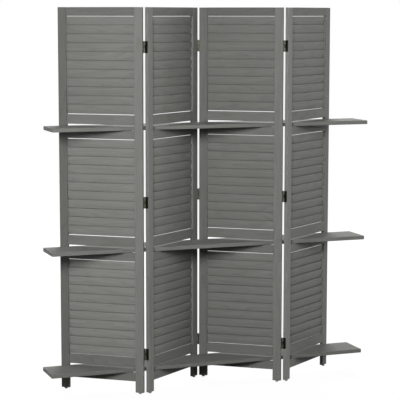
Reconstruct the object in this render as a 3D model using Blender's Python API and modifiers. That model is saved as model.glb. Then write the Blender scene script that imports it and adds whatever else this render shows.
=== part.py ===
"""A folding screen of four louvred panels, with three shelf boards pushed through its slots.

Lengths are in metres. The screen stands on z = 0 and faces -Y, and its boards run along X.
Each panel is drawn flat around its own middle line and is then turned about its hinge pin.
"""

import math

import bmesh
import bpy
from mathutils import Matrix, Vector

for old in list(bpy.data.objects):
    bpy.data.objects.remove(old, do_unlink=True)

# The gap that touching pieces keep, how far a cutter runs past what it cuts,
# and how far a shape reaches into the one that it is joined to
FIT = 0.0003
OVERRUN = 0.002
BITE = 0.001
MERGE_DISTANCE = 0.00001

# Panels
SCREEN_HEIGHT = 1.700
PANEL_WIDTH = 0.389
PANEL_THICKNESS = 0.016
STILE_WIDTH = 0.038
TOP_RAIL_HEIGHT = 0.038
HOLD_RAIL_HEIGHT = 0.042
SLOT_HEIGHT = 0.0245
REST_RAIL_HEIGHT = 0.0384
FOOT_CLEARANCE = 0.0565
TOP_FIELD_TRIM = 0.004
RAIL_SETBACK = 0.0004
STILE_EASE = 0.0015
RAIL_EASE = 0.001

# Tenons of the rails, and the strips that hold the slats in grooves of the stiles
TENON_LENGTH = 0.015
TENON_THICKNESS = 0.006
TENON_SHOULDER = 0.005
STRIP_THICKNESS = 0.009
STRIP_DEPTH = 0.006
STRIP_PROUD = 0.0015

# Slats of a louvre field. They lie further from the front face of the stiles than from the back
SLAT_COUNT = 11
SLAT_THICKNESS = 0.0038
SLAT_OVERLAP = 0.002
SLAT_FRONT_SETBACK = 0.0035
SLAT_BACK_SETBACK = 0.0006
SLIT_HEIGHT = 0.0034

# Glides under the stiles
GLIDE_RADIUS = 0.0072
GLIDE_HEIGHT = 0.006
GLIDE_EDGE = 0.0015

# Hinges
HINGE_HEIGHT = 0.051
HINGE_FROM_TOP = 0.171
HINGE_FROM_FLOOR = 0.178
HINGE_GAP = 0.0045
PIN_STANDOFF = 0.0028
PIN_RADIUS = 0.0011
PIN_END = 0.0006
BORE_CLEARANCE = 0.0003
KNUCKLE_RADIUS = 0.003
LEAF_THICKNESS = 0.0011
LEAF_MARGIN = 0.0012
SCREW_HOLE_RADIUS = 0.0015
SCREW_SINK_RADIUS = 0.0027
SCREW_SINK_DEPTH = 0.0007
PILOT_RADIUS = 0.001
PILOT_LENGTH = 0.014
SCREW_HEIGHT_SHARE = 0.33

# Shelf boards. The top one lies this far to the right, and the bottom one as far to the left
SHELF_LENGTH = 1.491
SHELF_DEPTH = 0.159
SHELF_THICKNESS = 0.017
SHELF_EASE = 0.0015
SHELF_SLIP = 0.0078

# How far each panel is turned out of line, and how far the panels lie left of the boards
HALF_ANGLE = math.radians(36.6)
PANELS_SHIFT = 0.0067

# Sides of a round shape that shows, and of a small hole
ROUND_SIDES = 16
HOLE_SIDES = 8
SMOOTH_ANGLE = math.radians(40)

# Colour, roughness and metallic of grey paint on wood and of dark bronzed steel
PAINT = ((0.19, 0.19, 0.18), 0.55, 0.0)
BRONZE = ((0.045, 0.042, 0.03), 0.45, 0.85)

screen = bpy.data.collections.new("folding_screen_with_shelves")
bpy.context.scene.collection.children.link(screen)
workshop = bpy.data.collections.new("workshop")
bpy.context.scene.collection.children.link(workshop)


def box(bm, size, centre, turn=None):
    """Adds a box of this size, turned about its own middle."""
    place = Matrix.Translation(centre) @ (turn or Matrix())
    bmesh.ops.create_cube(bm, size=1.0, matrix=place @ Matrix.Diagonal((*size, 1.0)))


def span(bm, *sides):
    """Adds a box from its two limits along X, along Y and along Z, given in any order."""
    size = [abs(second - first) for first, second in sides]
    box(bm, size, [(first + second) / 2 for first, second in sides])


def rod(bm, radius, length, centre, sides):
    """Adds a round bar along Z."""
    place = Matrix.Translation(centre)
    bmesh.ops.create_cone(
        bm, cap_ends=True, segments=sides, radius1=radius, radius2=radius, depth=length, matrix=place
    )


def cross_rod(bm, first, second, sides):
    """Adds a round bar or cone along X. Each end is given as its centre and its radius."""
    (start, start_radius), (end, end_radius) = sorted((first, second), key=lambda found: found[0][0])
    start, end = Vector(start), Vector(end)
    place = Matrix.Translation((start + end) / 2) @ Matrix.Rotation(math.pi / 2, 4, "Y")
    bmesh.ops.create_cone(
        bm,
        cap_ends=True,
        segments=sides,
        radius1=start_radius,
        radius2=end_radius,
        depth=(end - start).length,
        matrix=place,
    )


def helper(draw):
    """An object in the workshop, from a function that draws into a bmesh."""
    bm = bmesh.new()
    draw(bm)
    mesh = bpy.data.meshes.new("shape")
    bm.to_mesh(mesh)
    bm.free()
    obj = bpy.data.objects.new("shape", mesh)
    obj.display_type = "WIRE"
    obj.hide_render = True
    workshop.objects.link(obj)
    return obj


def ease(obj, width, segments):
    """Rounds the edges of an object."""
    rounding = obj.modifiers.new("ease", "BEVEL")
    rounding.width = width
    rounding.segments = segments
    rounding.limit_method = "ANGLE"


def shaped(body, steps):
    """The mesh of a body after it is joined to, or cut by, each other shape in turn."""
    for operation, other in steps:
        joint = body.modifiers.new(operation.lower(), "BOOLEAN")
        joint.operation = operation
        joint.object = other
        joint.solver = "EXACT"
    bpy.context.view_layer.update()
    graph = bpy.context.evaluated_depsgraph_get()
    mesh = bpy.data.meshes.new_from_object(body.evaluated_get(graph))
    for used in [body] + [other for operation, other in steps]:
        bpy.data.objects.remove(used, do_unlink=True)
    mesh.shade_smooth()
    mesh.set_sharp_from_angle(angle=SMOOTH_ANGLE)
    return mesh


def piece(name, mesh, parent, location, finish):
    """One piece of the screen: an object of its own, with a material of its own."""
    obj = bpy.data.objects.new(name, mesh.copy())
    colour, roughness, metallic = finish
    material = bpy.data.materials.new(name + "_finish")
    material.use_nodes = True
    surface = material.node_tree.nodes["Principled BSDF"]
    surface.inputs["Base Color"].default_value = (*colour, 1.0)
    surface.inputs["Roughness"].default_value = roughness
    surface.inputs["Metallic"].default_value = metallic
    obj.data.materials.clear()
    obj.data.materials.append(material)
    obj.parent = parent
    obj.location = location
    screen.objects.link(obj)


def axis(name, x, y, angle):
    """An empty on a vertical axis, turned as the body that it carries."""
    empty = bpy.data.objects.new(name, None)
    empty.location = (x, y, 0.0)
    empty.rotation_euler = (0.0, 0.0, angle)
    screen.objects.link(empty)
    return empty


# Heights in a panel, from the top down: a louvre field, then a cross member that is a hold
# rail, a slot and a rest rail, and so on. The top field is trimmed to leave the rail its height.
LEVELS = ("top", "middle", "bottom")
MEMBER_HEIGHT = HOLD_RAIL_HEIGHT + SLOT_HEIGHT + REST_RAIL_HEIGHT
TRIMMED_HEIGHT = SCREEN_HEIGHT - TOP_RAIL_HEIGHT - FOOT_CLEARANCE
LEVEL_HEIGHT = (TRIMMED_HEIGHT + TOP_FIELD_TRIM) / len(LEVELS)
MEMBER_TOPS = [
    FOOT_CLEARANCE + MEMBER_HEIGHT + index * LEVEL_HEIGHT for index in reversed(range(len(LEVELS)))
]
FIELD_TOPS = [SCREEN_HEIGHT - TOP_RAIL_HEIGHT] + [top - MEMBER_HEIGHT for top in MEMBER_TOPS[:-1]]
SLOT_FLOORS = [top - HOLD_RAIL_HEIGHT - SLOT_HEIGHT for top in MEMBER_TOPS]

# Widths in a panel
OPENING_WIDTH = PANEL_WIDTH - 2 * STILE_WIDTH
RAIL_LENGTH = OPENING_WIDTH - 2 * FIT
RAIL_THICKNESS = PANEL_THICKNESS - 2 * RAIL_SETBACK
STILE_CENTRE = (PANEL_WIDTH - STILE_WIDTH) / 2
TENON_END = RAIL_LENGTH / 2 + TENON_LENGTH


# Top rail, drawn around its middle
def top_rail_mesh():
    def body(bm):
        box(bm, (RAIL_LENGTH, RAIL_THICKNESS, TOP_RAIL_HEIGHT), (0.0, 0.0, 0.0))

    def tenons(bm):
        reach = TOP_RAIL_HEIGHT / 2 - TENON_SHOULDER
        for side in (-1, 1):
            along = (side * (RAIL_LENGTH / 2 - BITE), side * TENON_END)
            span(bm, along, (-TENON_THICKNESS / 2, TENON_THICKNESS / 2), (-reach, reach))

    rail = helper(body)
    ease(rail, RAIL_EASE, 1)
    return shaped(rail, [("UNION", helper(tenons))])


# Cross member, drawn down from its top. It is one board whose slot runs from stile to stile:
# inside the mortises the tenons join the hold rail above the slot to the rest rail below it.
def cross_member_mesh():
    rails = ((0.0, -HOLD_RAIL_HEIGHT), (REST_RAIL_HEIGHT - MEMBER_HEIGHT, -MEMBER_HEIGHT))

    def body(bm):
        for high, low in rails:
            box(bm, (RAIL_LENGTH, RAIL_THICKNESS, high - low), (0.0, 0.0, (high + low) / 2))

    def tenons(bm):
        for high, low in rails:
            for side in (-1, 1):
                along = (side * (RAIL_LENGTH / 2 - BITE), side * TENON_END)
                across = (-TENON_THICKNESS / 2, TENON_THICKNESS / 2)
                span(bm, along, across, (high - TENON_SHOULDER, low + TENON_SHOULDER))

    def bridges(bm):
        for side in (-1, 1):
            along = (side * (RAIL_LENGTH / 2 + BITE), side * (TENON_END - BITE))
            across = (BITE - TENON_THICKNESS / 2, TENON_THICKNESS / 2 - BITE)
            span(bm, along, across, [(high + low) / 2 for high, low in rails])

    board = helper(body)
    ease(board, RAIL_EASE, 1)
    return shaped(board, [("UNION", helper(tenons)), ("UNION", helper(bridges))])


# Louvre field, drawn around its middle. Each slat leans: its top edge lies near the front
# face, and its bottom edge near the back, behind the top edge of the slat below.
SLAT_MIDDLE = (SLAT_FRONT_SETBACK - SLAT_BACK_SETBACK) / 2
SLAT_DEPTH = PANEL_THICKNESS - SLAT_FRONT_SETBACK - SLAT_BACK_SETBACK


def louvre_mesh(field_height):
    space = field_height - 2 * SLIT_HEIGHT
    pitch = (space - SLAT_OVERLAP) / SLAT_COUNT
    rise = pitch + SLAT_OVERLAP
    tilt = math.atan2(SLAT_DEPTH - SLAT_THICKNESS, rise)
    width = (rise - SLAT_THICKNESS * math.sin(tilt)) / math.cos(tilt)

    def strips(bm):
        across = (SLAT_MIDDLE - STRIP_THICKNESS / 2, SLAT_MIDDLE + STRIP_THICKNESS / 2)
        for side in (-1, 1):
            along = (side * (OPENING_WIDTH / 2 - STRIP_PROUD), side * (OPENING_WIDTH / 2 + STRIP_DEPTH))
            span(bm, along, across, (-space / 2, space / 2))

    def slats(bm):
        lean = Matrix.Rotation(tilt, 4, "X")
        for index in range(SLAT_COUNT):
            height = (space - rise) / 2 - index * pitch
            box(bm, (RAIL_LENGTH, SLAT_THICKNESS, width), (0.0, SLAT_MIDDLE, height), lean)

    return shaped(helper(strips), [("UNION", helper(slats))])


# Glide, turned around the middle of its stile, from the floor up into the stile's foot
def glide():
    rim = GLIDE_RADIUS - GLIDE_EDGE
    profile = (
        (0.0, GLIDE_HEIGHT + BITE),
        (rim, GLIDE_HEIGHT + BITE),
        (rim, GLIDE_HEIGHT),
        (GLIDE_RADIUS, GLIDE_HEIGHT - GLIDE_EDGE),
        (GLIDE_RADIUS, GLIDE_EDGE),
        (rim, 0.0),
        (0.0, 0.0),
    )

    def outline(bm):
        points = [bm.verts.new((radius, 0.0, height)) for radius, height in profile]
        for above, below in zip(points, points[1:]):
            bm.edges.new((above, below))

    shape = helper(outline)
    turning = shape.modifiers.new("turning", "SCREW")
    turning.steps = ROUND_SIDES
    turning.render_steps = ROUND_SIDES
    turning.use_merge_vertices = True
    turning.merge_threshold = MERGE_DISTANCE
    return shape


HINGE_CENTRES = (
    SCREEN_HEIGHT - HINGE_FROM_TOP,
    (SCREEN_HEIGHT - HINGE_FROM_TOP + HINGE_FROM_FLOOR) / 2,
    HINGE_FROM_FLOOR,
)
SCREW_OFFSETS = (-SCREW_HEIGHT_SHARE * HINGE_HEIGHT, SCREW_HEIGHT_SHARE * HINGE_HEIGHT)


# Stile, drawn around its middle line with its glide. inward is 1 where the louvres lie on its
# +X side and -1 where they lie on the other, and a hinged stile has screw holes in its edge.
def stile_mesh(inward, hinged):
    inner_face = inward * STILE_WIDTH / 2

    def body(bm):
        along = (-STILE_WIDTH / 2, STILE_WIDTH / 2)
        span(bm, along, (-PANEL_THICKNESS / 2, PANEL_THICKNESS / 2), (GLIDE_HEIGHT, SCREEN_HEIGHT))

    def pocket(bm, depth, thickness, low, high, middle=0.0):
        along = (inner_face + inward * OVERRUN, inner_face - inward * (depth + FIT))
        across = (middle - thickness / 2 - FIT, middle + thickness / 2 + FIT)
        span(bm, along, across, (low - FIT, high + FIT))

    def pockets(bm):
        rail_floor = SCREEN_HEIGHT - TOP_RAIL_HEIGHT + TENON_SHOULDER
        pocket(bm, TENON_LENGTH, TENON_THICKNESS, rail_floor, SCREEN_HEIGHT - TENON_SHOULDER)
        for field_top, member_top in zip(FIELD_TOPS, MEMBER_TOPS):
            strip_ends = (member_top + SLIT_HEIGHT, field_top - SLIT_HEIGHT)
            pocket(bm, STRIP_DEPTH, STRIP_THICKNESS, *strip_ends, SLAT_MIDDLE)
            member_floor = member_top - MEMBER_HEIGHT + TENON_SHOULDER
            pocket(bm, TENON_LENGTH, TENON_THICKNESS, member_floor, member_top - TENON_SHOULDER)

    def pilot_holes(bm):
        for centre in HINGE_CENTRES:
            for offset in SCREW_OFFSETS:
                mouth = (-inner_face - inward * OVERRUN, 0.0, centre + offset)
                end = (-inner_face + inward * PILOT_LENGTH, 0.0, centre + offset)
                cross_rod(bm, (mouth, PILOT_RADIUS), (end, PILOT_RADIUS), HOLE_SIDES)

    stile = helper(body)
    ease(stile, STILE_EASE, 2)
    steps = [("DIFFERENCE", helper(pockets)), ("UNION", glide())]
    if hinged:
        steps.append(("DIFFERENCE", helper(pilot_holes)))
    return shaped(stile, steps)


# Where a pin lies, seen from the middle of a panel, and the height of one of three knuckles
PIN_ALONG = (PANEL_WIDTH + HINGE_GAP) / 2
PIN_ACROSS = PANEL_THICKNESS / 2 + PIN_STANDOFF
KNUCKLE_HEIGHT = (HINGE_HEIGHT - 2 * FIT) / 3


# Hinge leaf, drawn around the pin. along is the side of the pin on which its panel lies, -1 or
# 1 on X, and across the same on Y. The pin leaf has the two end knuckles, with the pin fast in
# them, and the other leaf has the middle knuckle, which turns on the pin.
def leaf_mesh(along, across, with_pin):
    front_face = along * (HINGE_GAP / 2 - FIT - LEAF_THICKNESS)
    back_face = along * (HINGE_GAP / 2 - FIT)
    shoulder = KNUCKLE_RADIUS + FIT
    bore_radius = PIN_RADIUS + BORE_CLEARANCE
    knuckles = (-KNUCKLE_HEIGHT - FIT, KNUCKLE_HEIGHT + FIT) if with_pin else (0.0,)

    def plate(bm):
        tail = PIN_ACROSS + PANEL_THICKNESS / 2 - LEAF_MARGIN
        up = (-HINGE_HEIGHT / 2, HINGE_HEIGHT / 2)
        span(bm, (front_face, back_face), (across * shoulder, across * tail), up)

    def straps(bm):
        trim = FIT / 2
        sides = (front_face + along * trim, back_face - along * trim)
        ends = (across * (KNUCKLE_RADIUS + bore_radius) / 2, across * (shoulder + BITE))
        for height in knuckles:
            reach = KNUCKLE_HEIGHT / 2 - trim
            span(bm, sides, ends, (height - reach, height + reach))

    def rolls(bm):
        for height in knuckles:
            rod(bm, KNUCKLE_RADIUS, KNUCKLE_HEIGHT, (0.0, 0.0, height), ROUND_SIDES)

    def pin(bm):
        rod(bm, PIN_RADIUS, HINGE_HEIGHT + 2 * PIN_END, (0.0, 0.0, 0.0), HOLE_SIDES)

    def bore(bm):
        rod(bm, bore_radius, KNUCKLE_HEIGHT + 2 * OVERRUN, (0.0, 0.0, 0.0), HOLE_SIDES)

    def screw_holes(bm):
        for offset in SCREW_OFFSETS:
            mouth = (front_face - along * OVERRUN, across * PIN_ACROSS, offset)
            end = (back_face + along * OVERRUN, across * PIN_ACROSS, offset)
            cross_rod(bm, (mouth, SCREW_HOLE_RADIUS), (end, SCREW_HOLE_RADIUS), HOLE_SIDES)

    def sinks(bm):
        slope = (SCREW_SINK_RADIUS - SCREW_HOLE_RADIUS) / SCREW_SINK_DEPTH
        for offset in SCREW_OFFSETS:
            mouth = (front_face - along * FIT, across * PIN_ACROSS, offset)
            end = (front_face + along * SCREW_SINK_DEPTH, across * PIN_ACROSS, offset)
            mouth_radius = SCREW_SINK_RADIUS + slope * FIT
            cross_rod(bm, (mouth, mouth_radius), (end, SCREW_HOLE_RADIUS), HOLE_SIDES)

    steps = [("UNION", helper(straps)), ("UNION", helper(rolls))]
    steps.append(("UNION", helper(pin)) if with_pin else ("DIFFERENCE", helper(bore)))
    steps += [("DIFFERENCE", helper(screw_holes)), ("DIFFERENCE", helper(sinks))]
    return shaped(helper(plate), steps)


# Shelf board, drawn around its middle
def shelf_mesh():
    def body(bm):
        box(bm, (SHELF_LENGTH, SHELF_DEPTH, SHELF_THICKNESS), (0.0, 0.0, 0.0))

    board = helper(body)
    ease(board, SHELF_EASE, 2)
    return shaped(board, [])


# The line of panels: their middles lie on y = 0, half a step to each side of a pin. The outer
# pins lie behind the panels and the middle one in front, so that the screen folds up flat.
HALF_STEP = PIN_ALONG * math.cos(HALF_ANGLE) + PIN_ACROSS * math.sin(HALF_ANGLE)
PIN_Y = PIN_ALONG * math.sin(HALF_ANGLE) - PIN_ACROSS * math.cos(HALF_ANGLE)
PIN_SIDES = (1, -1, 1)
PIN_XS = [-PANELS_SHIFT - 2 * HALF_STEP, -PANELS_SHIFT, -PANELS_SHIFT + 2 * HALF_STEP]
PIVOT_X = -PANELS_SHIFT - HALF_STEP

# Each panel's empty, and where the middle of the panel lies from it
PANELS = (
    (axis("panel_1_pin", PIN_XS[0], -PIN_Y, -HALF_ANGLE), (-PIN_ALONG, -PIN_ACROSS)),
    (axis("panel_2_middle", PIVOT_X, 0.0, HALF_ANGLE), (0.0, 0.0)),
    (axis("panel_3_pin", PIN_XS[1], PIN_Y, -HALF_ANGLE), (PIN_ALONG, PIN_ACROSS)),
    (axis("panel_4_pin", PIN_XS[2], -PIN_Y, HALF_ANGLE), (PIN_ALONG, -PIN_ACROSS)),
)

top_rail = top_rail_mesh()
cross_member = cross_member_mesh()
louvres = [louvre_mesh(top - member_top) for top, member_top in zip(FIELD_TOPS, MEMBER_TOPS)]

for index, (parent, (x, y)) in enumerate(PANELS):
    name = f"panel_{index + 1}_"
    left_hinged = index > 0
    right_hinged = index < len(PANELS) - 1
    piece(name + "stile_left", stile_mesh(1, left_hinged), parent, (x - STILE_CENTRE, y, 0.0), PAINT)
    piece(name + "stile_right", stile_mesh(-1, right_hinged), parent, (x + STILE_CENTRE, y, 0.0), PAINT)
    rail_height = SCREEN_HEIGHT - TOP_RAIL_HEIGHT / 2
    piece(name + "top_rail", top_rail, parent, (x, y, rail_height), PAINT)
    for level, field, field_top, member_top in zip(LEVELS, louvres, FIELD_TOPS, MEMBER_TOPS):
        middle = (field_top + member_top) / 2
        piece(name + "louvres_" + level, field, parent, (x, y, middle), PAINT)
        piece(name + "cross_member_" + level, cross_member, parent, (x, y, member_top), PAINT)

for index, side in enumerate(PIN_SIDES):
    left_parent, (left_x, left_y) = PANELS[index]
    right_parent, (right_x, right_y) = PANELS[index + 1]
    pin_leaf = leaf_mesh(-1, -side, True)
    plain_leaf = leaf_mesh(1, -side, False)
    for level, height in zip(LEVELS, HINGE_CENTRES):
        name = f"hinge_{index + 1}{index + 2}_{level}_"
        left_place = (left_x + PIN_ALONG, left_y + side * PIN_ACROSS, height)
        right_place = (right_x - PIN_ALONG, right_y + side * PIN_ACROSS, height)
        piece(name + "pin_leaf", pin_leaf, left_parent, left_place, BRONZE)
        piece(name + "leaf", plain_leaf, right_parent, right_place, BRONZE)

shelf_axis = axis("shelves_pivot", PIVOT_X, 0.0, 0.0)
board = shelf_mesh()
for level, slip, floor in zip(LEVELS, (SHELF_SLIP, 0.0, -SHELF_SLIP), SLOT_FLOORS):
    height = floor + FIT + SHELF_THICKNESS / 2
    piece("shelf_" + level, board, shelf_axis, (slip - PIVOT_X, 0.0, height), PAINT)
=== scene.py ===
"""A grey folding screen of four louvred panels, with three shelf boards through its slots.

Lengths are in metres. The screen stands on z = 0, faces -Y, and its boards run along X.
"""

import math
import random

import bmesh
import bpy
from mathutils import Matrix, Vector


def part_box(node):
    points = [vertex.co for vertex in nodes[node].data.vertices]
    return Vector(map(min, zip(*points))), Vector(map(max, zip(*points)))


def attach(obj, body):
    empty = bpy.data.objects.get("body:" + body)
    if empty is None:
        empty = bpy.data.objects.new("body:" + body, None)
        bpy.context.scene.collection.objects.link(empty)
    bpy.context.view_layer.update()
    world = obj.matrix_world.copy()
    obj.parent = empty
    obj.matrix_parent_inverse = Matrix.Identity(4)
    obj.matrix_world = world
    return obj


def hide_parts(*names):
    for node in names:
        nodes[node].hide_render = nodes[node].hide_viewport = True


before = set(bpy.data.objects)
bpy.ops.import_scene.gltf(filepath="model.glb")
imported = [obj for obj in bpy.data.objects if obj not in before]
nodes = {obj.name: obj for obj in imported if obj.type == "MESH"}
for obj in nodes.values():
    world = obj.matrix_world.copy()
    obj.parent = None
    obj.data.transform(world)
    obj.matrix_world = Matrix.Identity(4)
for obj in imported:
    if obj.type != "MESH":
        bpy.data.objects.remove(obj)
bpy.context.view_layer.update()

# ---------------------------------------------------------------------------------------------
# Camera
# It stands well back on the screen's left side, near the height of the top rails, with a long
# lens, so that the panels' upright edges stay parallel and the boards' tops just show.
CAMERA_PLACE = Vector((-2.3156, -6.2153, 1.6693))
CAMERA_TURN = math.radians(20.119)
CAMERA_DIP = math.radians(7.142)
CAMERA_ROLL = math.radians(0.042)
LENS_MM = 133.37
SENSOR_MM = 36.0
NEAR_LIMIT = 0.05
FAR_LIMIT = 60.0

ahead = Vector(
    (
        math.sin(CAMERA_TURN) * math.cos(CAMERA_DIP),
        math.cos(CAMERA_TURN) * math.cos(CAMERA_DIP),
        -math.sin(CAMERA_DIP),
    )
)
level_right = Vector((math.cos(CAMERA_TURN), -math.sin(CAMERA_TURN), 0.0))
level_up = level_right.cross(ahead)
right = level_right * math.cos(CAMERA_ROLL) + level_up * math.sin(CAMERA_ROLL)
up = right.cross(ahead)
lens = bpy.data.cameras.new("camera")
lens.sensor_width = SENSOR_MM
lens.lens = LENS_MM
lens.clip_start = NEAR_LIMIT
lens.clip_end = FAR_LIMIT
camera = bpy.data.objects.new("camera", lens)
facing = Matrix((right, up, -ahead)).transposed().to_4x4()
camera.matrix_world = Matrix.Translation(CAMERA_PLACE) @ facing
bpy.context.scene.collection.objects.link(camera)
bpy.context.scene.camera = camera

# ---------------------------------------------------------------------------------------------
# Studio
# The floor looks white and keeps the screen's soft shadow, but sends little light back up, so
# that the undersides of the boards stay dark. Far away it fades into the white of the room. The
# key softbox stands in front on the left, others graze from both sides, and two light the backs.
FLOOR_SIZE = 40.0
FLOOR_CELLS = 8
FLOOR_COLOUR = (0.08, 0.08, 0.08, 1.0)
WHITE = (1.0, 1.0, 1.0, 1.0)
GLOW_NEAR = 0.95
GLOW_FAR = 1.0
NEAR_REACH = 1.0
FAR_REACH = 3.5
SCREEN_MIDDLE = Vector((0.0, 0.0, 0.85))
SOFTBOXES = (  # name, place, width and height, power in watts
    ("key softbox", (-2.40, -3.56, 2.30), (1.2, 1.2), 135.0),
    ("second softbox", (-1.47, -4.04, 2.30), (1.2, 1.2), 18.0),
    ("far left softbox", (-9.85, -1.74, 2.60), (3.0, 1.6), 42.0),
    ("low far left softbox", (-9.85, -1.74, 1.20), (3.0, 1.6), 39.0),
    ("high far softbox", (4.69, -8.83, 4.40), (3.0, 1.6), 25.0),
    ("right softbox", (4.76, -2.75, 2.50), (1.2, 1.2), 52.0),
    ("far right softbox", (9.97, -0.70, 2.60), (3.0, 1.6), 171.0),
    ("low far right softbox", (9.66, -2.59, 1.20), (3.0, 1.6), 73.0),
    ("back right softbox", (1.6, 3.4, 4.20), (2.4, 1.6), 210.0),
    ("back left softbox", (-2.4, 4.0, 3.00), (2.4, 1.6), 90.0),
)


def feed(tree, made, inputs):
    """Gives a shader node its inputs, each by name or number, as a value or as a socket."""
    for name, value in inputs.items():
        if isinstance(value, bpy.types.NodeSocket):
            tree.links.new(value, made.inputs[name])
        else:
            made.inputs[name].default_value = value
    return made


def node(tree, kind, inputs=None, **settings):
    """Adds a shader node, with its settings and inputs."""
    made = tree.nodes.new("ShaderNode" + kind)
    for name, value in settings.items():
        setattr(made, name, value)
    return feed(tree, made, inputs or {})


def maths(tree, operation, *values):
    """The result of a maths node."""
    return node(tree, "Math", dict(enumerate(values)), operation=operation).outputs[0]


def vector_maths(tree, operation, *values):
    """The result of a vector maths node: a number for a length or a dot product."""
    made = node(tree, "VectorMath", dict(enumerate(values)), operation=operation)
    return made.outputs["Value" if operation in ("LENGTH", "DOT_PRODUCT") else "Vector"]


def between(tree, value, low, high, start=0.0, end=1.0, kind="LINEAR"):
    """Maps a value from one range to another, and keeps it inside."""
    limits = {"Value": value, "From Min": low, "From Max": high, "To Min": start, "To Max": end}
    return node(tree, "MapRange", limits, interpolation_type=kind).outputs[0]


def seen_white(tree):
    """1 for what the camera sees, straight or in a mirror or through glass, otherwise 0."""
    path = node(tree, "LightPath")
    straight = maths(tree, "MAXIMUM", path.outputs["Is Camera Ray"], path.outputs["Is Glossy Ray"])
    return maths(tree, "MAXIMUM", straight, path.outputs["Is Transmission Ray"])


floor_mesh = bpy.data.meshes.new("floor")
bm = bmesh.new()
bmesh.ops.create_grid(bm, x_segments=FLOOR_CELLS, y_segments=FLOOR_CELLS, size=FLOOR_SIZE / 2)
bm.to_mesh(floor_mesh)
bm.free()
floor = bpy.data.objects.new("floor", floor_mesh)
bpy.context.scene.collection.objects.link(floor)

floor_paint = bpy.data.materials.new("studio floor")
floor_paint.use_nodes = True
tree = floor_paint.node_tree
tree.nodes.clear()
matt = node(tree, "BsdfDiffuse", {"Color": FLOOR_COLOUR})
away = vector_maths(tree, "LENGTH", node(tree, "TexCoord").outputs["Object"])
fade = between(tree, away, NEAR_REACH, FAR_REACH, GLOW_NEAR, GLOW_FAR, kind="SMOOTHSTEP")
brightness = maths(tree, "MULTIPLY", seen_white(tree), fade)
glow = node(tree, "Emission", {"Color": WHITE, "Strength": brightness})
both = node(tree, "AddShader", {0: matt.outputs[0], 1: glow.outputs[0]})
node(tree, "OutputMaterial", {"Surface": both.outputs[0]})
floor_mesh.materials.append(floor_paint)

world = bpy.data.worlds.new("studio")
bpy.context.scene.world = world
world.use_nodes = True
tree = world.node_tree
tree.nodes.clear()
room = node(tree, "Background", {"Color": WHITE, "Strength": seen_white(tree)})
node(tree, "OutputWorld", {"Surface": room.outputs[0]})

for name, place, size, power in SOFTBOXES:
    light = bpy.data.lights.new(name, "AREA")
    light.shape = "RECTANGLE"
    light.size, light.size_y = size
    light.energy = power
    lamp = bpy.data.objects.new(name, light)
    lamp.location = place
    lamp.visible_camera = False
    lamp.rotation_euler = (SCREEN_MIDDLE - Vector(place)).to_track_quat("-Z", "Y").to_euler()
    bpy.context.scene.collection.objects.link(lamp)

bpy.context.scene.view_settings.view_transform = "Standard"

# ---------------------------------------------------------------------------------------------
# Stiles
# Two light boards stand at the sides of each panel and run past the lowest rail as feet. They
# are planed softwood under a thin grey satin paint, through which the grain still shows, and
# a grey nylon glide is nailed under each foot.
FOLD_ANGLE = math.radians(36.6)
PANEL_ANGLES = {
    "panel_1": -FOLD_ANGLE,
    "panel_2": FOLD_ANGLE,
    "panel_3": -FOLD_ANGLE,
    "panel_4": FOLD_ANGLE,
}
PAINT_GREY = (0.208, 0.209, 0.196, 1.0)
# painted light and shade: stiles at the back and in the valley darker, on the ridges lighter
STILE_PAINTED_LIGHT = {
    "panel_1": {"left": 0.72, "right": 1.04},
    "panel_2": {"left": 1.08, "right": 0.99},
    "panel_3": {"left": 0.81, "right": 1.01},
    "panel_4": {"left": 1.22, "right": 0.92},
}
STILE_SEED_STEP = 3.1
SEED_SHIFT = (1.7, 0.83, 2.31)
GRAIN_SWAY = 0.03
RING_COUNT = 13.0
RING_SHARPNESS = 2.5
LINE_RANGE = (0.36, 0.64)
PORE_RANGE = (0.60, 0.70)
KNOT_RATES = (3.0, 8.0, 8.0)
KNOT_RANGE = (0.10, 0.04)
SATIN_ROUGHNESS = 0.44
SATIN_RELIEF = 0.0002
SATIN_BUMP = 0.6
SATIN_SHINE = 0.12
# where the slats lie tucked into their crevices, painted shade darkens them
CREVICE_SHADE_RANGE = (0.80, 0.885)
ARRIS_WIDTH = 0.0018
ARRIS_SAMPLES = 4
ARRIS_RANGE = (0.98, 0.80)
PATCH_RANGE = (0.42, 0.62)
GLIDE_TOP = 0.0059
NYLON_GREY = (0.42, 0.42, 0.41)
NYLON_ROUGHNESS = 0.38
NYLON_SPECKLE = 900.0
NYLON_TONES = (0.94, 1.04)
NOISE_RANGE = (0.3, 0.7)
MIX_SOCKETS = {"RGBA": (6, 7, 2), "FLOAT": (2, 3, 0)}  # the two inputs and the result


def new_group(name, inputs, outputs):
    """An empty node group with these sockets, and its input and output nodes."""
    group = bpy.data.node_groups.new(name, "ShaderNodeTree")
    for in_out, sockets in (("INPUT", inputs), ("OUTPUT", outputs)):
        for socket, kind in sockets.items():
            kind = "NodeSocket" + kind
            group.interface.new_socket(socket, in_out=in_out, socket_type=kind)
    return group, group.nodes.new("NodeGroupInput"), group.nodes.new("NodeGroupOutput")


def use_group(tree, group, inputs):
    """Places a node group in a material."""
    made = tree.nodes.new("ShaderNodeGroup")
    made.node_tree = group
    return feed(tree, made, inputs)


def speckled(tree, place, along, across, detail=2.0, roughness=0.5):
    """Noise over a board, 0 to 1, that changes so often per metre along it and across it."""
    scaled = vector_maths(tree, "MULTIPLY", place, (along, across, across))
    settings = {"Vector": scaled, "Scale": 1.0, "Detail": detail, "Roughness": roughness}
    return node(tree, "TexNoise", settings).outputs[0]


def mixed(tree, kind, share, first, second):
    """The result of a mix node: all of the first at a share of 0, and of the second at 1."""
    low, high, result = MIX_SOCKETS[kind]
    mix = node(tree, "Mix", {"Factor": share, low: first, high: second}, data_type=kind)
    return mix.outputs[result]


def toned(tree, colour, tone):
    """A colour made lighter or darker."""
    return node(tree, "VectorMath", {0: colour, "Scale": tone}, operation="SCALE").outputs[0]


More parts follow.
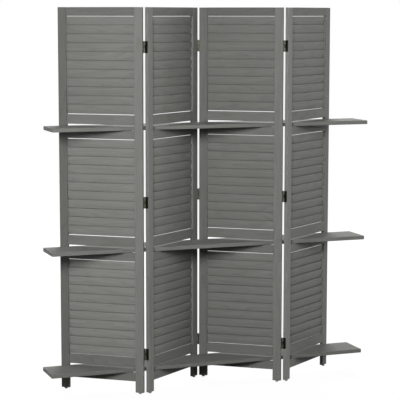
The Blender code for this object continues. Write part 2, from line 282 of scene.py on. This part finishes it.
def tally(tree, start, *shares):
    """Adds to a start, for each mark, a share of how far the mark is from its middle."""
    total = start
    for mark, middle, share in shares:
        centred = maths(tree, "SUBTRACT", mark, middle) if middle else mark
        total = maths(tree, "MULTIPLY_ADD", centred, share, total)
    return total


# Grain of planed softwood: fine lines along the board, flames where the dark late part of each
# growth ring ends sharply, short pores, and a rare knot
grain, given, told = new_group(
    "softwood grain",
    {"Board": "Vector", "Seed": "Float"},
    {"Lines": "Float", "Flames": "Float", "Pores": "Float", "Knots": "Float"},
)
seed = given.outputs["Seed"]
seeds = node(grain, "CombineXYZ", {"X": seed, "Y": seed, "Z": seed}).outputs[0]
place = vector_maths(grain, "MULTIPLY_ADD", seeds, SEED_SHIFT, given.outputs["Board"])
wander = speckled(grain, place, along=2.2, across=9.0, detail=1.0)
sway = maths(grain, "MULTIPLY", maths(grain, "SUBTRACT", wander, 0.5), GRAIN_SWAY)
bend = node(grain, "CombineXYZ", {"X": 0.0, "Y": sway, "Z": sway}).outputs[0]
bent = vector_maths(grain, "ADD", place, bend)
lines = speckled(grain, bent, along=6.0, across=520.0, detail=5.0, roughness=0.7)
rings = speckled(grain, bent, along=1.3, across=13.0, detail=1.2)
ring_part = maths(grain, "FRACT", maths(grain, "MULTIPLY", rings, RING_COUNT))
pores = speckled(grain, bent, along=55.0, across=1500.0, detail=1.0)
cells = vector_maths(grain, "MULTIPLY", place, KNOT_RATES)
knot = node(grain, "TexVoronoi", {"Vector": cells, "Scale": 1.0, "Randomness": 1.0})
feed(
    grain,
    told,
    {
        "Lines": between(grain, lines, *LINE_RANGE),
        "Flames": maths(grain, "POWER", ring_part, RING_SHARPNESS),
        "Pores": between(grain, pores, *PORE_RANGE),
        "Knots": between(grain, knot.outputs["Distance"], *KNOT_RANGE),
    },
)

# Satin paint laid thin over that grain: it sinks a little into the lines, keeps faint brush
# strokes, and lies unevenly, so its tone and its gloss both vary. Painted shade darkens the
# slats where they lie tucked into the crevices between them.
satin, given, told = new_group(
    "thin satin paint",
    {
        "Board": "Vector",
        "Paint": "Color",
        "Lines": "Float",
        "Flames": "Float",
        "Pores": "Float",
        "Knots": "Float",
        "Edges": "Float",
        "Crevice Shade": "Float",
    },
    {"Colour": "Color", "Roughness": "Float", "Height": "Float"},
)
mark = given.outputs
strokes = speckled(satin, mark["Board"], along=7.0, across=700.0, detail=3.0, roughness=0.6)
clouds = speckled(satin, mark["Board"], along=6.0, across=14.0, detail=3.0, roughness=0.55)
tone = tally(
    satin,
    1.0,
    (clouds, 0.5, 0.20),
    (mark["Lines"], 0.5, -0.13),
    (mark["Flames"], 0.28, -0.11),
    (strokes, 0.5, 0.14),
    (mark["Pores"], 0.0, -0.12),
    (mark["Knots"], 0.0, -0.10),
    (mark["Edges"], 0.0, 0.14),
    # painted shade in the slats' crevices
    (mark["Crevice Shade"], 0.0, -0.30),
)
gloss = tally(
    satin,
    SATIN_ROUGHNESS,
    (clouds, 0.0, 0.16),
    (mark["Lines"], 0.0, 0.06),
    (mark["Pores"], 0.0, 0.10),
    (mark["Edges"], 0.0, -0.08),
)
relief = tally(
    satin,
    0.0,
    (mark["Lines"], 0.0, 0.5),
    (strokes, 0.0, 0.35),
    (mark["Pores"], 0.0, -0.5),
)
colour = toned(satin, mark["Paint"], tone)
feed(satin, told, {"Colour": colour, "Roughness": gloss, "Height": relief})

# Arrises rubbed by hands and packing: 1 on a sharp edge, fading to 0 a little way from it, and
# broken up so that the wear comes and goes
rubbed, given, told = new_group(
    "rubbed arrises", {"Width": "Float", "Board": "Vector"}, {"Edges": "Float"}
)
width = given.outputs["Width"]
round_normal = node(rubbed, "Bevel", {"Radius": width}, samples=ARRIS_SAMPLES).outputs[0]
flat_normal = node(rubbed, "NewGeometry").outputs["Normal"]
agreement = vector_maths(rubbed, "DOT_PRODUCT", round_normal, flat_normal)
turned_away = between(rubbed, agreement, *ARRIS_RANGE)
patches = speckled(rubbed, given.outputs["Board"], along=28.0, across=28.0, detail=3.0)
wear = maths(rubbed, "MULTIPLY", turned_away, between(rubbed, patches, *PATCH_RANGE))
feed(rubbed, told, {"Edges": wear})


def board_paint(name, angle, seed, upright=False, tone=1.0, shine=SATIN_SHINE):
    """Painted softwood. The grain runs along X after a turn about Z, or else upright."""
    # tone lightens or darkens the paint, which most callers use for painted light and shade
    paint = (*(tone * part for part in PAINT_GREY[:3]), 1.0)
    material = bpy.data.materials.new(name)
    material.use_nodes = True
    tree = material.node_tree
    board = node(tree, "TexCoord").outputs["Object"]
    board = node(tree, "Mapping", {"Vector": board, "Rotation": (0.0, 0.0, -angle)}).outputs[0]
    if upright:
        quarter = (0.0, math.pi / 2, 0.0)
        board = node(tree, "Mapping", {"Vector": board, "Rotation": quarter}).outputs[0]
    plank_seed = node(tree, "Attribute", attribute_name="board seed").outputs["Fac"]
    wood = use_group(tree, grain, {"Board": board, "Seed": maths(tree, "ADD", plank_seed, seed)})
    wear = use_group(tree, rubbed, {"Width": ARRIS_WIDTH, "Board": board})
    tuck = node(tree, "Attribute", attribute_name="tucked in").outputs["Fac"]
    marks = {"Board": board, "Paint": paint, "Edges": wear.outputs[0]}
    marks |= {kind: wood.outputs[kind] for kind in ("Lines", "Flames", "Pores", "Knots")}
    # painted shade in the crevices between the slats
    marks["Crevice Shade"] = between(tree, tuck, *CREVICE_SHADE_RANGE)
    coat = use_group(tree, satin, marks).outputs
    bump = {"Height": coat["Height"], "Distance": SATIN_RELIEF, "Strength": SATIN_BUMP}
    surface = {
        "Base Color": coat["Colour"],
        "Roughness": coat["Roughness"],
        "Specular IOR Level": shine,
        "Normal": node(tree, "Bump", bump).outputs[0],
    }
    feed(tree, tree.nodes["Principled BSDF"], surface)
    return material


def add_glide(material):
    """Turns the paint to plain nylon below the foot of a stile."""
    tree = material.node_tree
    surface = tree.nodes["Principled BSDF"]
    place = node(tree, "TexCoord").outputs["Object"]
    height = node(tree, "SeparateXYZ", {0: place}).outputs["Z"]
    on_glide = maths(tree, "LESS_THAN", height, GLIDE_TOP)
    speckle = node(tree, "TexNoise", {"Scale": NYLON_SPECKLE, "Detail": 2.0}).outputs[0]
    moulded = toned(tree, NYLON_GREY, between(tree, speckle, *NOISE_RANGE, *NYLON_TONES))
    nylon = {"Base Color": ("RGBA", moulded), "Roughness": ("FLOAT", NYLON_ROUGHNESS)}
    for socket, (kind, value) in nylon.items():
        paint = surface.inputs[socket].links[0].from_socket
        feed(tree, surface, {socket: mixed(tree, kind, on_glide, paint, value)})


def dress(name, material):
    """Gives a CAD node its finish."""
    for slot in nodes[name].material_slots:
        slot.material = material


for number, (panel, angle) in enumerate(PANEL_ANGLES.items()):
    for side, tone in STILE_PAINTED_LIGHT[panel].items():
        seed = STILE_SEED_STEP * number + (side == "left")
        material = board_paint(f"{panel} {side} stile paint", angle, seed, upright=True, tone=tone)
        add_glide(material)
        dress(f"{panel}_stile_{side}", material)

# ---------------------------------------------------------------------------------------------
# Rails
# Between the stiles lie a top rail and three cross members, each a hold rail and a rest rail
# with a slot for a shelf board between them, tenoned and glued, and painted with the stiles.
TOP_RAIL_TONES = {"panel_1": 0.78, "panel_2": 0.79, "panel_3": 0.70, "panel_4": 0.81}
TOP_RAIL_SEED = 7.7
TOP_RAIL_SEED_STEP = 2.3
# painted shade on the cross members, darker towards the bottom
CROSS_MEMBER_PAINTED_SHADE = {"top": 0.93, "middle": 0.90, "bottom": 0.86}
CROSS_MEMBER_SEED = 11.9
CROSS_MEMBER_PANEL_STEP = 3.7
CROSS_MEMBER_LEVEL_STEP = 0.61

for number, (panel, angle) in enumerate(PANEL_ANGLES.items()):
    seed = TOP_RAIL_SEED + TOP_RAIL_SEED_STEP * number
    material = board_paint(f"{panel} top rail paint", angle, seed, tone=TOP_RAIL_TONES[panel])
    dress(f"{panel}_top_rail", material)
    for step, (level, tone) in enumerate(CROSS_MEMBER_PAINTED_SHADE.items()):
        seed = CROSS_MEMBER_SEED + CROSS_MEMBER_PANEL_STEP * number + CROSS_MEMBER_LEVEL_STEP * step
        material = board_paint(f"{panel} {level} cross member paint", angle, seed, tone=tone)
        dress(f"{panel}_cross_member_{level}", material)

# ---------------------------------------------------------------------------------------------
# Louvre fields
# Eleven thin softwood slats with rounded edges lean one behind the other, glued between two
# side strips that sit in grooves of the stiles, and painted with them. A slit is left open
# above and below the slats.
# painted light and shade, given for each louvre field
FIELD_PAINTED_LIGHT = {
    "panel_1": {"top": 1.07, "middle": 1.21, "bottom": 1.31},
    "panel_2": {"top": 1.17, "middle": 1.19, "bottom": 1.16},
    "panel_3": {"top": 0.99, "middle": 1.05, "bottom": 1.08},
    "panel_4": {"top": 1.13, "middle": 1.11, "bottom": 1.05},
}
FIELD_SEED = 23.3
FIELD_PANEL_STEP = 5.3
FIELD_LEVEL_STEP = 1.9
SLAT_SEED_STEP = 0.37
SLIT_TRIMS = {  # how far each field's slats reach into the slits above and below them
    "panel_1": {"top": (0.0020, 0.0008), "middle": (0.0007, 0.0005), "bottom": (0.0013, 0.0023)},
    "panel_2": {"top": (0.0020, 0.0012), "middle": (0.0014, 0.0020), "bottom": (0.0026, 0.0020)},
    "panel_3": {"top": (0.0021, 0.0010), "middle": (0.0020, 0.0017), "bottom": (0.0014, 0.0020)},
    "panel_4": {"top": (0.0019, 0.0021), "middle": (0.0012, 0.0021), "bottom": (0.0009, 0.0022)},
}
SLAT_COUNT = 11
SLAT_THICKNESS = 0.0038
SLAT_OVERLAP = 0.002
SLAT_DEPTH = 0.0119
SLAT_EASE = 0.0009
SLAT_EASE_SEGMENTS = 3
SLAT_TAIL = 0.0018
SLAT_LOOSENESS = 0.00012
SLAT_WARP = math.radians(0.25)
OPENING_WIDTH = 0.313
END_GAP = 0.0003
STRIP_PROUD = 0.0015
STRIP_INTO_GROOVE = 0.0055
STRIP_THICKNESS = 0.009
STRIP_EASE = 0.0004
STRIP_EASE_SEGMENTS = 1
SHARP_EDGE = math.radians(50)
CHANCE_SEED = 11


def plank(bm, size, ease, segments, placing, seed, tucked=(0.0, 0.0)):
    """Adds a board with rounded edges, drawn around its middle and then put in its place.

    tucked says whether its lower end in front and its upper end behind lie in a joint.
    """
    layers = bm.verts.layers.float
    for wanted in ("board seed", "tucked in"):
        if layers.get(wanted) is None:
            layers.new(wanted)
    seeds, tucks = layers.get("board seed"), layers.get("tucked in")
    made = bmesh.ops.create_cube(bm, size=1.0, matrix=Matrix.Diagonal((*size, 1.0)))
    rounded = bmesh.ops.bevel(
        bm,
        geom=list({edge for corner in made["verts"] for edge in corner.link_edges}),
        offset=ease,
        offset_type="OFFSET",
        segments=segments,
        profile=0.5,
        affect="EDGES",
    )
    whole = {vert for face in rounded["faces"] for vert in face.verts}
    for vert in whole:
        vert[seeds] = seed
        lowered = 0.5 - vert.co.z / size[2]
        vert[tucks] = tucked[0] * lowered if vert.co.y < 0.0 else tucked[1] * (1.0 - lowered)
    bmesh.ops.transform(bm, matrix=placing, verts=list(whole))


def piece(name, bm, material, body, node_name=None):
    """Makes an object of a bmesh, with its finish, that moves with a body of the frame."""
    mesh = bpy.data.meshes.new(name)
    bm.to_mesh(mesh)
    bm.free()
    mesh.shade_smooth()
    mesh.set_sharp_from_angle(angle=SHARP_EDGE)
    mesh.materials.append(material)
    obj = bpy.data.objects.new(name, mesh)
    bpy.context.scene.collection.objects.link(obj)
    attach(obj, body)
    if node_name:
        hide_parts(node_name)
    return obj


shaking = random.Random(CHANCE_SEED)
for number, (panel, angle) in enumerate(PANEL_ANGLES.items()):
    for step, (level, (above, below)) in enumerate(SLIT_TRIMS[panel].items()):
        source = f"{panel}_louvres_{level}"
        low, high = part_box(source)
        field_height = high.z - low.z + above + below
        pitch = (field_height - SLAT_OVERLAP) / SLAT_COUNT
        tilt = math.atan2(SLAT_DEPTH - SLAT_THICKNESS, pitch + SLAT_OVERLAP)
        here = Matrix.Translation((low + high) / 2) @ Matrix.Rotation(angle, 4, "Z")
        bm = bmesh.new()
        for slat in range(SLAT_COUNT):
            tail = 0.0 if slat == SLAT_COUNT - 1 else SLAT_TAIL
            rise = pitch + SLAT_OVERLAP + tail
            slat_width = (rise - SLAT_THICKNESS * math.sin(tilt)) / math.cos(tilt)
            height = (field_height - rise + above - below) / 2 - slat * pitch
            height += shaking.uniform(-1, 1) * SLAT_LOOSENESS
            lean = Matrix.Rotation(tilt + shaking.uniform(-1, 1) * SLAT_WARP, 4, "X")
            placing = here @ Matrix.Translation((0.0, tail * math.tan(tilt) / 2, height)) @ lean
            size = (OPENING_WIDTH - 2 * END_GAP, SLAT_THICKNESS, slat_width)
            tucked = (float(slat < SLAT_COUNT - 1), float(slat > 0))
            seed = slat * SLAT_SEED_STEP
            plank(bm, size, SLAT_EASE, SLAT_EASE_SEGMENTS, placing, seed, tucked)
        for side in (-1, 1):
            inner = OPENING_WIDTH / 2 - STRIP_PROUD
            outer = OPENING_WIDTH / 2 + STRIP_INTO_GROOVE
            placing = here @ Matrix.Translation((side * (inner + outer) / 2, 0.0, 0.0))
            size = (outer - inner, STRIP_THICKNESS, high.z - low.z)
            seed = (SLAT_COUNT + side) * SLAT_SEED_STEP
            plank(bm, size, STRIP_EASE, STRIP_EASE_SEGMENTS, placing, seed)
        seed = FIELD_SEED + FIELD_PANEL_STEP * number + FIELD_LEVEL_STEP * step
        tone = FIELD_PAINTED_LIGHT[panel][level]
        material = board_paint(f"{panel} {level} louvre paint", angle, seed, tone=tone)
        piece(f"{panel}_slats_{level}", bm, material, panel, source)

# ---------------------------------------------------------------------------------------------
# Hinges
# Small butt hinges of bronzed steel join the stiles edge to edge. The bronzing is near black,
# and worn to olive on the knuckles, most near the top. The olive on the leaf that carries the
# pin, on the left, is painted light from the left, and the middle knuckle is kept darker as
# painted shade.
BRONZE_BLACK = (0.009, 0.009, 0.006, 1.0)
OLIVE_WEAR_AND_LIGHT = (0.25, 0.245, 0.175, 1.0)
BRONZE_TONES = (0.8, 1.25)
BRONZE_METAL = 0.45
BRONZE_SHINE = 0.08
BRONZE_ROUGHNESS = 0.38
MOTTLE_SHARE = 0.25
SCRATCH_SHARE = 0.4
OLIVE_RANGE = (0.35, 0.6)
OLIVE_LEAST = 0.35
BRONZE_RELIEF = 0.00008
BRONZE_BUMP = 0.5
HINGE_PINS = {"12": (-0.335487, -0.108637), "23": (-0.0067, 0.108637), "34": (0.322087, -0.108637)}
KNUCKLE_REACH = 0.0040
KNUCKLE_FADE = 0.85
SIDEWAYS = (1.0, 1.0, 0.0)  # leaves the height out of a distance
HINGE_WEAR = {"top": 0.8, "middle": 0.65, "bottom": 0.4}
# the olive on the pin leaf is painted light, and the middle knuckle's lesser olive painted shade
PIN_LEAF_LIGHT_SHARE = 0.8
MIDDLE_KNUCKLE_SHADE_SHARE = 0.6

bronzing, given, told = new_group(
    "bronzed steel",
    {"Place": "Vector", "Wear And Light": "Float"},
    {"Colour": "Color", "Roughness": "Float", "Height": "Float"},
)
place = given.outputs["Place"]
mottle = speckled(bronzing, place, along=240.0, across=240.0, detail=4.0, roughness=0.6)
scratches = speckled(bronzing, place, along=90.0, across=1900.0)
cover = between(bronzing, mottle, *OLIVE_RANGE, start=OLIVE_LEAST)
share = maths(bronzing, "MULTIPLY", given.outputs["Wear And Light"], cover)
colour = mixed(bronzing, "RGBA", share, BRONZE_BLACK, OLIVE_WEAR_AND_LIGHT)
colour = toned(bronzing, colour, between(bronzing, mottle, *NOISE_RANGE, *BRONZE_TONES))
gloss = tally(bronzing, BRONZE_ROUGHNESS, (mottle, 0.0, MOTTLE_SHARE))
relief = tally(bronzing, mottle, (scratches, 0.0, SCRATCH_SHARE))
feed(bronzing, told, {"Colour": colour, "Roughness": gloss, "Height": relief})


def bronze(name, pin, knuckle_wear_and_shade, leaf_wear_and_light):
    """Bronzed steel, olive on the knuckles around this pin and on the leaf: wear and painted light.
    """
    material = bpy.data.materials.new(name)
    material.use_nodes = True
    tree = material.node_tree
    place = node(tree, "TexCoord").outputs["Object"]
    from_pin = vector_maths(tree, "SUBTRACT", place, (*pin, 0.0))
    reach = vector_maths(tree, "LENGTH", vector_maths(tree, "MULTIPLY", from_pin, SIDEWAYS))
    knuckle_edge = KNUCKLE_REACH * KNUCKLE_FADE
    wear_and_light = between(tree, reach, KNUCKLE_REACH, knuckle_edge, leaf_wear_and_light, knuckle_wear_and_shade)
    steel = use_group(tree, bronzing, {"Place": place, "Wear And Light": wear_and_light}).outputs
    bump = {"Height": steel["Height"], "Distance": BRONZE_RELIEF, "Strength": BRONZE_BUMP}
    surface = {
        "Base Color": steel["Colour"],
        "Roughness": steel["Roughness"],
        "Metallic": BRONZE_METAL,
        "Specular IOR Level": BRONZE_SHINE,
        "Normal": node(tree, "Bump", bump).outputs[0],
    }
    feed(tree, tree.nodes["Principled BSDF"], surface)
    return material


for junction, pin in HINGE_PINS.items():
    for level, wear in HINGE_WEAR.items():
        hinge = f"hinge {junction} {level}"
        worn_and_lit = bronze(f"{hinge} pin leaf bronze", pin, wear, PIN_LEAF_LIGHT_SHARE * wear)
        dress(f"hinge_{junction}_{level}_pin_leaf", worn_and_lit)
        worn_and_shaded = bronze(f"{hinge} leaf bronze", pin, MIDDLE_KNUCKLE_SHADE_SHARE * wear, 0.0)
        dress(f"hinge_{junction}_{level}_leaf", worn_and_shaded)

# ---------------------------------------------------------------------------------------------
# Hinge screws
# Two countersunk steel screws with cross recesses hold each leaf to the edge of its stile. Their
# heads lie just below the face of the leaf, and are bronzed like it.
HINGE_LEVELS = {"top": 1.529, "middle": 0.8535, "bottom": 0.178}
PANEL_MIDDLES = {
    "panel_1": -0.499881,
    "panel_2": -0.171094,
    "panel_3": 0.157694,
    "panel_4": 0.486481,
}
SCREW_SPREAD = 0.01683
LEAF_FACE = 0.1959
HEAD_RADIUS = 0.0025
HEAD_DEPTH = 0.0007
HEAD_SINK = 0.00004
HEAD_EASE = 0.0001
NECK_FLARE = 0.00045
NECK_LENGTH = 0.0003
SHANK_RADIUS = 0.00092
SHANK_LENGTH = 0.0115
POINT_LENGTH = 0.0022
POINT_RADIUS = 0.0001
RECESS_DEPTH = 0.0005
RECESS_LENGTH = 0.0030
RECESS_WIDTH = 0.0006
RECESS_UNLIKENESS = 0.999
SCREW_SIDES = 28


def screw_mesh():
    """A screw along X, with its head's face at the origin and its point on the -X side."""
    rings = (
        (-HEAD_SINK, HEAD_RADIUS - HEAD_EASE),
        (-HEAD_SINK - HEAD_EASE, HEAD_RADIUS),
        (-HEAD_DEPTH, SHANK_RADIUS + NECK_FLARE),
        (-HEAD_DEPTH - NECK_LENGTH, SHANK_RADIUS),
        (-SHANK_LENGTH, SHANK_RADIUS),
        (-SHANK_LENGTH - POINT_LENGTH, POINT_RADIUS),
    )
    turns = [2 * math.pi * side / SCREW_SIDES for side in range(SCREW_SIDES)]
    bm = bmesh.new()
    loops = [
        [bm.verts.new((along, radius * math.cos(turn), radius * math.sin(turn))) for turn in turns]
        for along, radius in rings
    ]
    for near, far in zip(loops, loops[1:]):
        for side in range(SCREW_SIDES):
            after = (side + 1) % SCREW_SIDES
            bm.faces.new((near[side], near[after], far[after], far[side]))
    bm.faces.new(reversed(loops[0]))
    bm.faces.new(loops[-1])
    bmesh.ops.recalc_face_normals(bm, faces=bm.faces)
    screw = bpy.data.objects.new("screw blank", bpy.data.meshes.new("screw blank"))
    bm.to_mesh(screw.data)
    bm.free()

    # The two bars of the cross differ by a hair, so that the cut never meets equal faces
    bars = ((RECESS_LENGTH, RECESS_WIDTH), (RECESS_WIDTH, RECESS_LENGTH * RECESS_UNLIKENESS))
    at_face = Matrix.Translation((-HEAD_SINK, 0.0, 0.0))
    bm = bmesh.new()
    for bar in bars:
        block = Matrix.Diagonal((2 * RECESS_DEPTH, *bar, 1.0))
        bmesh.ops.create_cube(bm, size=1.0, matrix=at_face @ block)
    cutter = bpy.data.objects.new("recess cutter", bpy.data.meshes.new("recess cutter"))
    bm.to_mesh(cutter.data)
    bm.free()
    for made in (screw, cutter):
        bpy.context.scene.collection.objects.link(made)
    cut = screw.modifiers.new("recess", "BOOLEAN")
    cut.operation = "DIFFERENCE"
    cut.object = cutter
    cut.solver = "EXACT"
    cut.use_self = True
    bpy.context.view_layer.update()
    graph = bpy.context.evaluated_depsgraph_get()
    mesh = bpy.data.meshes.new_from_object(screw.evaluated_get(graph))
    for used in (screw, cutter):
        bpy.data.objects.remove(used)
    return mesh


screw = screw_mesh()
for junction, pin in HINGE_PINS.items():
    material = bronze(f"hinge {junction} screw bronze", pin, 0.0, 0.0)
    for level, centre in HINGE_LEVELS.items():
        for panel_number, side, leaf in ((junction[0], 1, "pin_leaf"), (junction[1], -1, "leaf")):
            panel = f"panel_{panel_number}"
            bm = bmesh.new()
            for offset in (-SCREW_SPREAD, SCREW_SPREAD):
                old = set(bm.verts)
                bm.from_mesh(screw)
                placing = (
                    Matrix.Translation((PANEL_MIDDLES[panel], 0.0, centre + offset))
                    @ Matrix.Rotation(PANEL_ANGLES[panel], 4, "Z")
                    @ Matrix.Translation((side * LEAF_FACE, 0.0, 0.0))
                    @ Matrix.Rotation(0.0 if side > 0 else math.pi, 4, "Z")
                    @ Matrix.Rotation(shaking.uniform(0.0, math.pi), 4, "X")
                )
                added = [vert for vert in bm.verts if vert not in old]
                bmesh.ops.transform(bm, matrix=placing, verts=added)
            screws = piece(f"hinge_{junction}_{level}_{leaf}_screws", bm, material, panel)

# ---------------------------------------------------------------------------------------------
# Shelf boards
# Three long planed boards, painted like the frame, are pushed through the slots of all four
# panels and lie loose on the rest rails. Their ends show sawn end grain under the paint.
# painted light and shade: the top and middle boards lighter, the bottom board darker
SHELF_PAINTED_LIGHT = {"top": 1.06, "middle": 1.05, "bottom": 0.93}
SHELF_SHINE = 0.03
SHELF_SEED = 41.0
SHELF_SEED_STEP = 2.7

for step, (level, tone) in enumerate(SHELF_PAINTED_LIGHT.items()):
    seed = SHELF_SEED + SHELF_SEED_STEP * step
    material = board_paint(f"{level} shelf paint", 0.0, seed, tone=tone, shine=SHELF_SHINE)
    dress(f"shelf_{level}", material)
